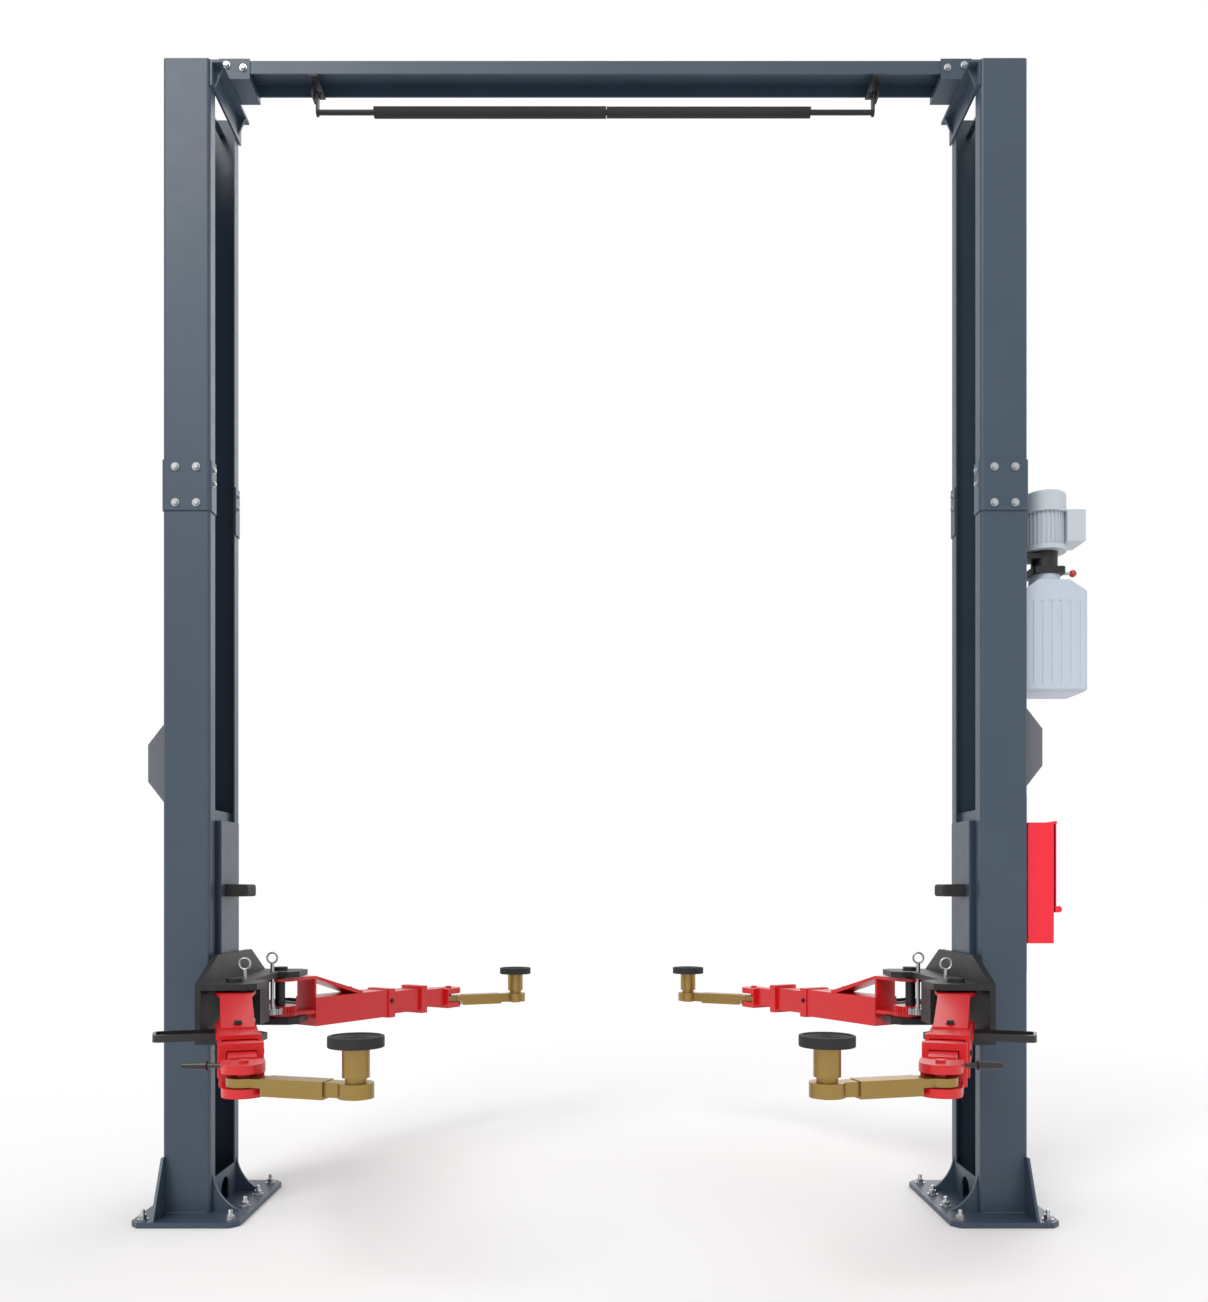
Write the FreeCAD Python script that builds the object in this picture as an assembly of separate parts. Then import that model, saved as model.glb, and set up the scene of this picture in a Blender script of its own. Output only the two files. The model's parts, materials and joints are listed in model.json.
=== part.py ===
import FreeCAD, Part
import math
import os

# Two post car lift, millimetres, +Z up, floor at z = 0, X across the bay, Y along the car.
# The origin is on the floor, midway between the posts. The power unit is on the +X post.

V = FreeCAD.Vector

# Posts
POST_FACE = 1400.0          # distance from the middle to the open face of a post
POST_DEPTH = 171.0          # size of a post across the bay
POST_HALF_WIDTH = 170.0     # half the size of a post along the car
POST_WALL = 6.0
POST_BEND = 12.0
POST_LIP = 57.0
SEAM_Z = 2664.0
POST_TOP = 4215.0
SLEEVE_HALF = 92.0
SLEEVE_WALL = 5.0

# Base plates and anchor holes
BASE_THICK = 20.0
BASE_INNER = 1261.0
BASE_OUTER = 1645.0
BASE_HALF_Y = 294.0
BASE_CHAMFER = 28.0
ANCHOR_R = 10.0
ANCHOR_IN = 1300.0
ANCHOR_OUT = 1612.0
ANCHOR_Y = 250.0
ANCHOR_MID_Y = 80.0
GUSSET_WALL = 10.0
GUSSET_REACH = 115.0
GUSSET_TOP = 223.0
TOE_GUSSET_Y = 138.0
TOE_GUSSET_REACH = 97.0
TOE_GUSSET_TOP = 160.0
TOE_GUSSET_HOLLOW = 0.36
FOOT_PLATE_TOP = 136.0

# Crossbeam, its brackets and the limit bar
BEAM_HALF_Y = 65.0
BEAM_RISE = 66.0
BEAM_TOP = POST_TOP + BEAM_RISE
BEAM_HEIGHT = 47.0
BEAM_WALL = 5.0
CRADLE_REACH = 114.0
CRADLE_WALL = 5.0
CRADLE_DROP = 24.0
SHELF_THICK = 10.0
SHELF_REACH = 40.0
FLANGE_THICK = 8.0
FLANGE_HEIGHT = 92.0
BAR_PIVOT_DROP = 85.0
BAR_DROP = 63.0
BAR_PIVOT_Z = BEAM_TOP - BAR_PIVOT_DROP
BAR_Z = BAR_PIVOT_Z - BAR_DROP
BAR_ROD_R = 9.5
BAR_X = 1050.0
BAR_LINK_THICK = 8.0
BAR_LINK_R = 15.0
BAR_PIN_R = 7.0
FOAM_R = 20.0
FOAM_LEFT = -836.0
FOAM_RIGHT = 813.0
FOAM_JOINT = 41.0
HANGER_THICK = 8.0
HANGER_WIDTH = 50.0

# Carriages
CAR_BOTTOM = 760.0
CAR_TOP = 1450.0
CAR_INNER_TOP = 1490.0
COVER_BOTTOM = 620.0
COVER_FACE = 1380.0
COVER_THICK = 8.0
COVER_HALF_Y = 102.0
CAR_PLATE = 10.0
CAR_HALF_Y = 150.0
CAR_FLANGE_END = 1545.0
CAR_NECK_HALF_Y = 92.0
RUNNER_GAP = 0.3
RUNNER_LEN = 110.0
RUNNER_WIDTH = 40.0
BUMPER_LONG = 82.0
BUMPER_TALL = 46.0
BUMPER_HALF_Y = 60.0
BUMPER_Z = 1191.0

# Arm heads on the carriages
PIN_X = 1272.0
PIN_Y = 287.0
PIN_R = 20.0
PIN_HEAD_R = 30.0
PIN_HEAD = 14.0
PIN_GAP = 0.3
HEAD_TOP = 868.0
HEAD_TOP_THICK = 22.0
HEAD_LOW_TOP = 683.0
HEAD_LOW_THICK = 24.0
HEAD_PLATE_FACE = 1360.0
HEAD_PLATE_THICK = 20.0
HEAD_CREST = 958.0
HEAD_CREST_HALF = 200.0
HEAD_FRONT_Y = 382.0
HEAD_INNER_X = 1176.0
HEAD_NOTCH_HALF = 175.0
HEAD_SPINE_X = 1250.0
HEAD_SIDE_LOW = 744.0
HEAD_SPINE_LOW = 690.0
HEAD_CORNER = 34.0
HEAD_SPINE_HALF = 60.0

# Arm lock: a toothed disc on a lifting rod beside each pin
LOCK_ROD_R = 7.5
LOCK_DISC_R = 37.0
LOCK_DISC_LOW = 702.0
LOCK_DISC_THICK = 24.0
LOCK_TEETH = 18
LOCK_TOOTH = 5.0
LOCK_ROD_TOP = 905.0
LOCK_RING_R = 20.0
LOCK_RING_WIRE = 4.0
SECTOR_R = 68.0
SECTOR_TEETH = 32
LOCK_CLEAR = 5.0

# Arm sections; heights are shared by all four arms
S1_WIDTH = 120.0
S1_LOW = 632.0
S1_TALL = 117.0
S1_START = 136.0
S1_END = 596.0
S1_COLLAR = 40.0
COLLAR_THICK = 5.0
ARM_WALL = 8.0
SLIDE_GAP = 2.5
SEAT_GAP = 0.3
S2_LENGTH = 480.0
S2_COLLAR = 36.0
S3_LENGTH = 430.0
EAR_TOP_Z = 838.0
EAR_THICK = 12.0
EAR_WIDTH = 143.0
EAR_LOW_Z = 699.0
EAR_LOW_THICK = 14.0
STRAP_END = 410.0
STRAP_WIDTH = 104.0
SIDE_PLATE = 10.0
CLEVIS_R = 58.0
CLEVIS_TOP = 723.0
CLEVIS_LOW = 633.0
CLEVIS_THICK = 25.0
CLEVIS_BACK = 70.0
LINK_PIN_R = 14.0
LINK_TONGUE_R = 46.0
LINK_TONGUE_LOW = 661.0
LINK_TONGUE_THICK = 24.0
LINK_SLEEVE_START = 70.0
LINK_SLEEVE_END = 257.0
LINK_SLEEVE_LOW = 639.0
LINK_SLEEVE_TALL = 48.0
LINK_SLEEVE_WIDTH = 62.0
LINK_LENGTH = 340.0
LINK_BAR_WIDTH = 46.0
LINK_END_R = 48.0
LINK_END_LOW = 645.0
LINK_END_TALL = 40.0
SPIGOT_R = 22.0
SPIGOT_LOW = 640.0
STEM_COLLAR_R = 28.5
STEM_R = 36.5
STEM_LOW = 699.0
STEM_TOP = 779.0
PAD_R = 75.0
PAD_THICK = 30.0
PAD_DISH = 3.0
GRIP_R = 13.5
GRIP_LENGTH = 68.0
GRIP_ROD_R = 6.5
GRIP_REACH = 168.0
GRIP_ANGLE = 110.0
GUARD_REACH = 262.0
GUARD_START = 150.0
GUARD_WIDTH = 120.0
GUARD_LOW = 699.0
GUARD_TALL = 24.0
GUARD_RIM = 10.0
GUARD_FLOOR = 6.0
GUARD_CORNER = 26.0

# Rest pose of each arm: swing from straight ahead, end of the middle section, link pivot, link turn
ARM_REST = {
    "front_left": (-1, -1, 19.0, 770.0, 957.0, 55.0),
    "front_right": (1, -1, 20.0, 770.0, 957.0, 55.0),
    "rear_left": (-1, 1, 33.5, 809.0, 1028.0, 33.0),
    "rear_right": (1, 1, 30.5, 809.0, 1005.0, 33.0),
}

# Covers, power unit, tank and cabinet
LOCK_COVER_LOW = {"left": 1487.0, "right": 1547.0}
LOCK_COVER_TALL = 347.0
LOCK_COVER_DEEP = 81.0
LOCK_COVER_HALF_Y = 100.0
LOCK_COVER_SLOPE = 105.0
UNIT_X = 1698.0
MOTOR_R = 72.0
MOTOR_LOW = 2465.0
MOTOR_TALL = 220.0
MOTOR_TOP = MOTOR_LOW + MOTOR_TALL
MOTOR_FAN = 78.0
MOTOR_FAN_R = 78.0
MOTOR_FINS = 28
FIN_TALL = 6.0
FIN_THICK = 3.0
TERMINAL_X = 1829.0
TERMINAL_LOW = 2495.0
TERMINAL_TALL = 117.0
TERMINAL_HALF_Y = 62.0
PUMP_R = 60.0
PUMP_LOW = 2376.0
PUMP_NECK_R = 48.0
UNIT_BRACKET_THICK = 10.0
TANK_LOW = 1928.0
TANK_TOP = 2376.0
TANK_IN = 1575.0
TANK_OUT = 1827.0
TANK_HALF_Y = 95.0
TANK_SHOULDER = 2296.0
TANK_NECK_LOW = 2342.0
TANK_NECK_HALF = 57.0
TANK_ROUND = 22.0
TANK_RIBS = 6
RIB_WIDE = 14.0
RIB_DEEP = 2.0
RAIL_THICK = 14.0
RAIL_LOW = 896.0
RAIL_TOP = 1540.0
RAIL_Y = -95.0
RAIL_WIDTH = 60.0
BOX_LOW = 997.0
BOX_TOP = 1440.0
BOX_DEEP = 95.0
BOX_HALF_Y = 135.0
BOX_WALL = 3.0
BOX_FRONT_TOP = 1105.0
LID_GAP = 6.3
LID_WALL = 3.0
LID_HINGE_R = 6.0
LID_LOW = 1110.0

# Lifting cable and foot pulley
CABLE_R = 5.0
PULLEY_SET = 50.0
PULLEY_R = 44.0
PULLEY_THICK = 22.0
PULLEY_AXLE_R = 10.0
CABLE_STOP = 65.0
CABLE_TOP = POST_TOP - CABLE_STOP


def box(x0, x1, y0, y1, z0, z1):
    """Box between two corners, given in any order across X."""
    low, high = min(x0, x1), max(x0, x1)
    return Part.makeBox(high - low, y1 - y0, z1 - z0, V(low, y0, z0))


def cyl(r, z0, z1, x=0.0, y=0.0):
    """Upright cylinder."""
    return Part.makeCylinder(r, z1 - z0, V(x, y, z0))


def prism(points, along):
    """Solid from a closed outline of points, pushed along a vector."""
    wire = Part.makePolygon([V(*p) for p in points] + [V(*points[0])])
    return Part.Face(wire).extrude(V(*along))


def fuse(shapes):
    """One clean solid from shapes that meet."""
    first = shapes[0]
    return first.fuse(shapes[1:]).removeSplitter() if len(shapes) > 1 else first


def round_upright(shape, radius, keep=None):
    """Round the upright edges of a shape, or those that a test picks."""
    edges = []
    for edge in shape.Edges:
        a, b = edge.Vertexes[0].Point, edge.Vertexes[-1].Point
        upright = abs(a.x - b.x) < 0.01 and abs(a.y - b.y) < 0.01
        if upright and (keep is None or keep(a)):
            edges.append(edge)
    return shape.makeFillet(radius, edges)


def mirror_x(shape):
    """The same piece on the left side."""
    return shape.mirror(V(0, 0, 0), V(1, 0, 0))


# Posts: bent channels with in-turned lips
def channel(z0, z1, grow=0.0, wall=POST_WALL):
    outer = box(POST_FACE - grow, POST_FACE + POST_DEPTH + grow,
                -POST_HALF_WIDTH - grow, POST_HALF_WIDTH + grow, z0, z1)
    outer = round_upright(outer, POST_BEND + grow)
    inner = box(POST_FACE - grow + wall, POST_FACE + POST_DEPTH + grow - wall,
                -POST_HALF_WIDTH - grow + wall, POST_HALF_WIDTH + grow - wall, z0, z1)
    inner = round_upright(inner, POST_BEND + grow - wall)
    gap = POST_HALF_WIDTH - POST_LIP
    slot = box(POST_FACE - grow - wall, POST_FACE + POST_DEPTH / 2, -gap, gap, z0, z1)
    return outer.cut([inner, slot])


def sleeve():
    """Splice around the seam, lying on the outside of both post lengths."""
    return channel(SEAM_Z - SLEEVE_HALF, SEAM_Z + SLEEVE_HALF, SLEEVE_WALL, SLEEVE_WALL)


# Base plate with gussets and the foot closing plate
def base_plate():
    plate = box(BASE_INNER, BASE_OUTER, -BASE_HALF_Y, BASE_HALF_Y, 0, BASE_THICK)
    edges = [e for e in plate.Edges if abs(e.Vertexes[0].Z - e.Vertexes[-1].Z) > 1]
    plate = plate.makeChamfer(BASE_CHAMFER, edges)
    holes = [cyl(ANCHOR_R, 0, BASE_THICK, x, sy * ANCHOR_Y)
             for x in (ANCHOR_IN, ANCHOR_OUT) for sy in (-1, 1)]
    holes += [cyl(ANCHOR_R, 0, BASE_THICK, ANCHOR_IN, sy * ANCHOR_MID_Y) for sy in (-1, 1)]
    plate = plate.cut(holes)
    shapes = [plate]
    back = POST_FACE + POST_DEPTH
    for sy in (-1, 1):
        y0 = sy * POST_HALF_WIDTH
        y1 = sy * (POST_HALF_WIDTH + GUSSET_REACH)
        tip = sy * (POST_HALF_WIDTH + GUSSET_WALL * 2)
        shapes.append(prism([(back - GUSSET_WALL, y0, BASE_THICK), (back - GUSSET_WALL, y1, BASE_THICK),
                             (back - GUSSET_WALL, tip, GUSSET_TOP), (back - GUSSET_WALL, y0, GUSSET_TOP)],
                            (GUSSET_WALL, 0, 0)))
        low = V(POST_FACE - TOE_GUSSET_REACH, 0, BASE_THICK)
        top = V(POST_FACE, 0, TOE_GUSSET_TOP)
        mid = V(POST_FACE - TOE_GUSSET_REACH * TOE_GUSSET_HOLLOW, 0,
                BASE_THICK + (TOE_GUSSET_TOP - BASE_THICK) * TOE_GUSSET_HOLLOW)
        corner = V(POST_FACE, 0, BASE_THICK)
        arc = Part.Arc(low, mid, top).toShape()
        wire = Part.Wire([arc, Part.makeLine(top, corner), Part.makeLine(corner, low)])
        web = Part.Face(wire).extrude(V(0, GUSSET_WALL, 0))
        web.translate(V(0, sy * TOE_GUSSET_Y - GUSSET_WALL / 2, 0))
        shapes.append(web)
    return fuse(shapes)


def foot_plate():
    """Closing plate across the mouth of the post at the foot, with an arched hole."""
    gap = POST_HALF_WIDTH - POST_LIP
    plate = box(POST_FACE, POST_FACE + POST_WALL, -gap, gap, BASE_THICK, FOOT_PLATE_TOP)
    hole = fuse([box(POST_FACE - 1, POST_FACE + POST_WALL + 1, -PULLEY_R, PULLEY_R,
                     BASE_THICK, BASE_THICK + PULLEY_R),
                 Part.makeCylinder(PULLEY_R, POST_WALL + 2,
                                   V(POST_FACE - 1, 0, BASE_THICK + PULLEY_R), V(1, 0, 0))])
    return plate.cut(hole)


# Overhead crossbeam, an inverted channel lying in two cradles
def crossbeam():
    end = POST_FACE - 8.0
    outer = box(-end, end, -BEAM_HALF_Y, BEAM_HALF_Y, BEAM_TOP - BEAM_HEIGHT, BEAM_TOP)
    inner = box(-end, end, -BEAM_HALF_Y + BEAM_WALL, BEAM_HALF_Y - BEAM_WALL,
                BEAM_TOP - BEAM_HEIGHT, BEAM_TOP - BEAM_WALL)
    return outer.cut(inner)


def beam_bracket():
    """Cradle, shelf and bolted flange that carry one end of the crossbeam."""
    low = BEAM_TOP - BEAM_HEIGHT
    x0 = POST_FACE - CRADLE_REACH
    outer = box(x0, POST_FACE, -BEAM_HALF_Y - CRADLE_WALL, BEAM_HALF_Y + CRADLE_WALL,
                low - CRADLE_DROP, BEAM_TOP + CRADLE_WALL)
    bay = box(x0, POST_FACE, -BEAM_HALF_Y, BEAM_HALF_Y, low, BEAM_TOP + CRADLE_WALL)
    cradle = outer.cut(bay)
    shelf_top = low - CRADLE_DROP
    shelf = box(POST_FACE - SHELF_REACH, POST_FACE, -POST_HALF_WIDTH, POST_HALF_WIDTH,
                shelf_top - SHELF_THICK, shelf_top)
    flange = box(POST_FACE - FLANGE_THICK, POST_FACE, -POST_HALF_WIDTH, POST_HALF_WIDTH,
                 shelf_top - FLANGE_HEIGHT, shelf_top)
    ribs = [prism([(POST_FACE, y, shelf_top - FLANGE_HEIGHT), (POST_FACE - SHELF_REACH, y, shelf_top),
                   (POST_FACE, y, shelf_top)], (0, CRADLE_WALL * 2, 0)) for y in (-140.0, 130.0)]
    return fuse([cradle, shelf, flange] + ribs)


# Limit bar, its foam and its hangers
def x_cyl(r, x0, x1, y, z):
    return Part.makeCylinder(r, x1 - x0, V(x0, y, z), V(1, 0, 0))


def limit_bar():
    shapes = [x_cyl(BAR_ROD_R, -BAR_X, BAR_X, 0, BAR_Z)]
    for s in (-1, 1):
        x0 = s * BAR_X - BAR_LINK_THICK / 2
        eye = x_cyl(BAR_LINK_R, x0, x0 + BAR_LINK_THICK, 0, BAR_PIVOT_Z)
        foot = x_cyl(BAR_LINK_R, x0, x0 + BAR_LINK_THICK, 0, BAR_Z)
        web = box(x0, x0 + BAR_LINK_THICK, -BAR_LINK_R, BAR_LINK_R, BAR_Z, BAR_PIVOT_Z)
        hole = x_cyl(BAR_PIN_R + PIN_GAP, x0 - 1, x0 + BAR_LINK_THICK + 1, 0, BAR_PIVOT_Z)
        shapes.append(fuse([eye, foot, web]).cut(hole))
    return fuse(shapes)


def bar_foam():
    tube = x_cyl(FOAM_R, FOAM_LEFT, FOAM_JOINT, 0, BAR_Z).cut(
        x_cyl(BAR_ROD_R, FOAM_LEFT, FOAM_JOINT, 0, BAR_Z))
    other = x_cyl(FOAM_R - 1, FOAM_JOINT + 2, FOAM_RIGHT, 0, BAR_Z).cut(
        x_cyl(BAR_ROD_R, FOAM_JOINT + 2, FOAM_RIGHT, 0, BAR_Z))
    return Part.makeCompound([tube, other])


def bar_hanger():
    """Plate under the crossbeam with the pin that the limit bar swings on."""
    gap = 6.0
    x0 = BAR_X + BAR_LINK_THICK / 2 + gap
    low = BEAM_TOP - BEAM_HEIGHT
    plate = box(x0, x0 + HANGER_THICK, -HANGER_WIDTH / 2, HANGER_WIDTH / 2,
                BAR_PIVOT_Z - BAR_LINK_R, low)
    foot = box(x0 - HANGER_WIDTH / 2, x0 + HANGER_THICK, -BEAM_HALF_Y, BEAM_HALF_Y,
               low - HANGER_THICK, low)
    pin = x_cyl(BAR_PIN_R, x0 - gap - BAR_LINK_THICK - gap, x0, 0, BAR_PIVOT_Z)
    head = x_cyl(BAR_PIN_R * 1.6, x0 - gap * 2 - BAR_LINK_THICK - 6, x0 - gap * 2 - BAR_LINK_THICK,
                 0, BAR_PIVOT_Z)
    return fuse([plate, foot, pin, head])


# Carriage: a channel inside the post, a neck through the mouth and a cover plate
def carriage():
    face = POST_FACE + POST_WALL
    web_x = face + CAR_PLATE
    inner_y = POST_HALF_WIDTH - POST_WALL
    inner_x = POST_FACE + POST_DEPTH - POST_WALL
    web = box(web_x, web_x + CAR_PLATE, -CAR_HALF_Y, CAR_HALF_Y, CAR_BOTTOM, CAR_INNER_TOP)
    flanges = [box(web_x, CAR_FLANGE_END, sy * CAR_HALF_Y - (CAR_PLATE if sy > 0 else 0),
                   sy * CAR_HALF_Y + (0 if sy > 0 else CAR_PLATE), CAR_BOTTOM, CAR_INNER_TOP)
               for sy in (-1, 1)]
    neck = box(COVER_FACE, web_x, -CAR_NECK_HALF_Y, CAR_NECK_HALF_Y, CAR_BOTTOM, CAR_TOP)
    neck = neck.cut(box(COVER_FACE + COVER_THICK, web_x, -CAR_NECK_HALF_Y + CAR_PLATE,
                        CAR_NECK_HALF_Y - CAR_PLATE, CAR_BOTTOM, CAR_TOP))
    cover = box(COVER_FACE, COVER_FACE + COVER_THICK, -COVER_HALF_Y, COVER_HALF_Y,
                COVER_BOTTOM, CAR_TOP)
    shapes = [web, neck, cover] + flanges
    for z0 in (CAR_BOTTOM, CAR_INNER_TOP - RUNNER_LEN):
        for sy in (-1, 1):
            y_out = sy * (inner_y - RUNNER_GAP)
            y_in = sy * CAR_HALF_Y
            shapes.append(box(CAR_FLANGE_END - RUNNER_WIDTH * 2, CAR_FLANGE_END - RUNNER_WIDTH,
                              min(y_in, y_out), max(y_in, y_out), z0, z0 + RUNNER_LEN))
            y_a = sy * (CAR_HALF_Y - RUNNER_WIDTH / 2)
            shapes.append(box(face + RUNNER_GAP, web_x, y_a - CAR_PLATE, y_a + CAR_PLATE,
                              z0, z0 + RUNNER_LEN))
            y_b = sy * (CAR_HALF_Y - CAR_PLATE / 2)
            shapes.append(box(CAR_FLANGE_END, inner_x - RUNNER_GAP, y_b - CAR_PLATE / 2,
                              y_b + CAR_PLATE / 2, z0, z0 + RUNNER_LEN))
    return fuse(shapes)


def door_bumper():
    """Rubber block on the cover plate that keeps car doors off the carriage."""
    x1 = COVER_FACE
    block = box(x1 - BUMPER_LONG, x1, -BUMPER_HALF_Y, BUMPER_HALF_Y,
                BUMPER_Z - BUMPER_TALL / 2, BUMPER_Z + BUMPER_TALL / 2)
    edges = [e for e in block.Edges if abs(e.CenterOfMass.x - (x1 - BUMPER_LONG)) < 0.1]
    return block.makeFillet(BUMPER_TALL * 0.3, edges)


# Arm head: two yokes on one vertical plate, with pins
def yoke_outline(sy, z, reach=0.0):
    """Outline of one yoke plate, from the head plate to its chamfered nose."""
    c = HEAD_CORNER
    y0 = sy * (HEAD_NOTCH_HALF + 12.0)
    y1 = sy * HEAD_FRONT_Y
    x0 = HEAD_INNER_X
    x1 = HEAD_PLATE_FACE
    return [(x1, y0, z), (x0 + c, y0, z), (x0, y0 + sy * c, z), (x0, y1 - sy * c, z),
            (x0 + c, y1, z), (x1, y1, z)]


def arm_head():
    shapes = []
    for sy in (-1, 1):
        shapes.append(prism(yoke_outline(sy, HEAD_TOP - HEAD_TOP_THICK), (0, 0, HEAD_TOP_THICK)))
        shapes.append(prism(yoke_outline(sy, HEAD_LOW_TOP - HEAD_LOW_THICK), (0, 0, HEAD_LOW_THICK)))
        shapes.append(cyl(PIN_R, HEAD_LOW_TOP - HEAD_LOW_THICK, HEAD_TOP + PIN_HEAD, PIN_X, sy * PIN_Y))
        shapes.append(cyl(PIN_HEAD_R, HEAD_TOP, HEAD_TOP + PIN_HEAD, PIN_X, sy * PIN_Y))
    x = HEAD_PLATE_FACE
    notch = HEAD_NOTCH_HALF
    low = HEAD_LOW_TOP - HEAD_LOW_THICK
    plate = prism([(x, -HEAD_FRONT_Y, low), (x, -notch, low), (x, -notch, HEAD_SIDE_LOW),
                   (x, notch, HEAD_SIDE_LOW), (x, notch, low), (x, HEAD_FRONT_Y, low),
                   (x, HEAD_FRONT_Y, HEAD_TOP), (x, HEAD_CREST_HALF, HEAD_CREST),
                   (x, -HEAD_CREST_HALF, HEAD_CREST), (x, -HEAD_FRONT_Y, HEAD_TOP)],
                  (HEAD_PLATE_THICK, 0, 0))
    shapes.append(plate)
    top_bridge = box(HEAD_SPINE_X, x, -HEAD_NOTCH_HALF - 20, HEAD_NOTCH_HALF + 20,
                     HEAD_TOP - HEAD_TOP_THICK, HEAD_TOP)
    spine = box(HEAD_SPINE_X, HEAD_SPINE_X + HEAD_TOP_THICK, -HEAD_SPINE_HALF, HEAD_SPINE_HALF,
                HEAD_SPINE_LOW, HEAD_TOP)
    spine_web = box(HEAD_SPINE_X, x, -CAR_PLATE, CAR_PLATE, HEAD_SIDE_LOW, HEAD_TOP)
    shapes += [top_bridge, spine, spine_web]
    holes = [cyl(LOCK_ROD_R + PIN_GAP, HEAD_LOW_TOP, LOCK_ROD_TOP, PIN_X, lock_place(sy).y)
             for sy in (-1, 1)]
    return fuse(shapes).cut(holes)


def toothed(radius, teeth, tooth, z0, z1, phase=0.0):
    """Disc with square-cut teeth, drawn as one outline that steps in and out."""
    points = []
    for i in range(teeth):
        start = 2 * math.pi * (i + phase) / teeth
        step = 2 * math.pi / teeth
        for r, part in ((radius - tooth, 0.0), (radius, 0.15), (radius, 0.4), (radius - tooth, 0.55)):
            points.append((r * math.cos(start + part * step), r * math.sin(start + part * step), z0))
    return prism(points, (0, 0, z1 - z0))


def lock_place(sy):
    """Place of a lock rod, beside its pin on the post side."""
    y = sy * (PIN_Y - SECTOR_R - LOCK_DISC_R - LOCK_CLEAR)
    return V(PIN_X, y, 0)


def arm_locks():
    solids = []
    for sy in (-1, 1):
        at = lock_place(sy)
        disc = toothed(LOCK_DISC_R, LOCK_TEETH, LOCK_TOOTH, LOCK_DISC_LOW,
                       LOCK_DISC_LOW + LOCK_DISC_THICK)
        rod = cyl(LOCK_ROD_R, LOCK_DISC_LOW, LOCK_ROD_TOP)
        ring = Part.makeTorus(LOCK_RING_R, LOCK_RING_WIRE, V(0, 0, LOCK_ROD_TOP + LOCK_RING_R),
                              V(0, 1, 0))
        lock = fuse([disc, rod, ring])
        lock.translate(at)
        solids.append(lock)
    return Part.makeCompound(solids)


# Arms, drawn along +X from the pin and then turned into place
def bar(width, t0, t1, z0, z1):
    return box(t0, t1, -width / 2, width / 2, z0, z1)


def tube(width, t0, t1, z0, z1):
    wall = ARM_WALL
    return bar(width, t0, t1, z0, z1).cut(bar(width - 2 * wall, t0, t1, z0 + wall, z1 - wall))


def s2_size():
    """Width, underside and top of the middle section inside the outer one."""
    width = S1_WIDTH - 2 * ARM_WALL - 2 * SLIDE_GAP
    low = S1_LOW + ARM_WALL + SEAT_GAP
    return width, low, S1_LOW + S1_TALL - ARM_WALL - SLIDE_GAP


def s3_size():
    """Width, underside and top of the inner section inside the middle one."""
    width, low, top = s2_size()
    return width - 2 * ARM_WALL - 2 * SLIDE_GAP, low + ARM_WALL + SEAT_GAP, top - ARM_WALL - SLIDE_GAP


def arm_outer():
    top = S1_LOW + S1_TALL
    body = tube(S1_WIDTH, S1_START, S1_END, S1_LOW, top)
    g = COLLAR_THICK
    collar = bar(S1_WIDTH + 2 * g, S1_END - S1_COLLAR, S1_END, S1_LOW - g, top + g).cut(
        bar(S1_WIDTH - 2, S1_END - S1_COLLAR, S1_END, S1_LOW + 1, top - 1))
    half = EAR_WIDTH / 2
    s = STRAP_WIDTH / 2
    low = EAR_TOP_Z - EAR_THICK
    ear = fuse([cyl(half, low, EAR_TOP_Z),
                prism([(0, -half, low), (S1_START + SIDE_PLATE, -s, low),
                       (S1_START + SIDE_PLATE, s, low), (0, half, low)], (0, 0, EAR_THICK))])
    t0 = S1_START + SIDE_PLATE - 1
    strap = prism([(t0, -s, EAR_TOP_Z), (STRAP_END, -s, top + EAR_THICK * 0.6), (STRAP_END, -s, top),
                   (STRAP_END - 30, -s, top), (t0, -s, low)], (0, 2 * s, 0))
    lower = fuse([cyl(half, EAR_LOW_Z - EAR_LOW_THICK, EAR_LOW_Z),
                  bar(EAR_WIDTH * 0.8, 0, S1_START + 4, EAR_LOW_Z - EAR_LOW_THICK, EAR_LOW_Z)])
    sector = toothed(SECTOR_R, SECTOR_TEETH, LOCK_TOOTH, EAR_LOW_Z, LOCK_DISC_LOW + LOCK_DISC_THICK, 0.5)
    end = bar(STRAP_WIDTH, S1_START, S1_START + SIDE_PLATE, S1_LOW, EAR_TOP_Z - 1)
    arm = fuse([body, collar, ear, strap, lower, sector, end])
    hole = cyl(PIN_R + PIN_GAP, EAR_LOW_Z - EAR_LOW_THICK - 1, EAR_TOP_Z + 1)
    return arm.cut(hole)


def foot_guard(sign):
    """Shallow tray on the outer side of an arm that keeps feet clear; sign picks the side."""
    y0, y1 = S1_WIDTH / 2, GUARD_REACH
    t0, t1 = GUARD_START, GUARD_START + GUARD_WIDTH
    tray = round_upright(box(t0, t1, y0, y1, GUARD_LOW, GUARD_LOW + GUARD_TALL), GUARD_CORNER,
                         lambda p: p.y > y1 - 1)
    r = GUARD_RIM
    well = round_upright(box(t0 + r, t1 - r, y0 + r, y1 - r, GUARD_LOW + GUARD_FLOOR,
                             GUARD_LOW + GUARD_TALL), GUARD_CORNER - r, lambda p: p.y > y1 - r - 1)
    tray = tray.cut(well)
    return tray if sign > 0 else tray.mirror(V(0, 0, 0), V(0, 1, 0))


def arm_middle(end):
    width, low, top = s2_size()
    body = tube(width, end - S2_LENGTH, end, low, top)
    g = COLLAR_THICK + ARM_WALL
    collar = bar(width + 2 * g, end - S2_COLLAR, end, low - g, top + g).cut(
        bar(width - 2, end - S2_COLLAR, end, low + 1, top - 1))
    return fuse([body, collar])


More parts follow.
